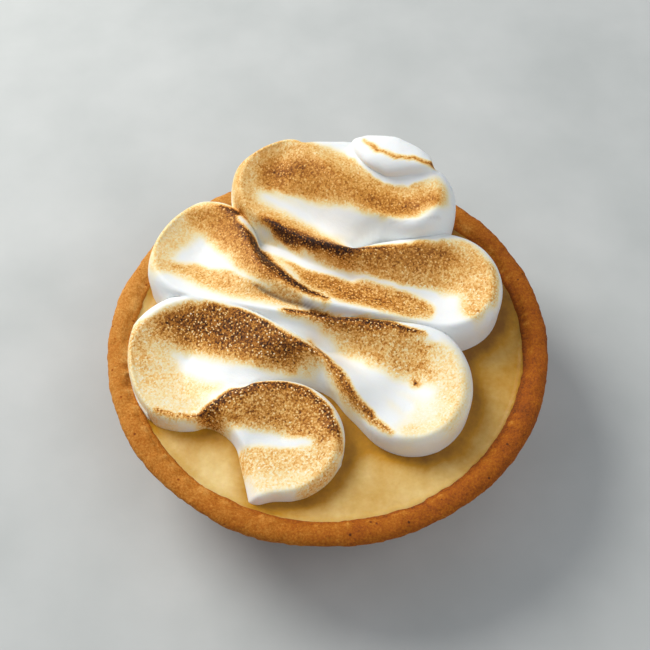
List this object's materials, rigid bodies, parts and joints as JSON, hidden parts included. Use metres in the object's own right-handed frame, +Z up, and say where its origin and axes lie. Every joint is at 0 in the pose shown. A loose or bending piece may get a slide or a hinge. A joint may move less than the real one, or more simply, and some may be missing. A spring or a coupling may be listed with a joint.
{
  "type": "lemon meringue tart",
  "caption": "Round lemon tart for one: a tapered pastry shell filled level with lemon curd, under a piped ribbon of torched meringue that winds from the back to the front.",
  "frame": {"origin": "centre of the underside of the pastry shell, on the surface the tart stands on", "axes": "+Z up; -Y towards the thin free end of the meringue ribbon, which is the front; +X to the right as seen from the front"},
  "size_m": [0.08, 0.08, 0.0364],
  "materials": {
    "crust": "baked pastry with a fine sandy crumb",
    "curd": "set lemon curd, smooth and slightly glossy",
    "meringue": "soft white meringue, torched brown on its crests and dished faces"
  },
  "bodies": {
    "root": {"crust": "crust", "curd": "curd", "meringue": "meringue"}
  },
  "joints": []
}
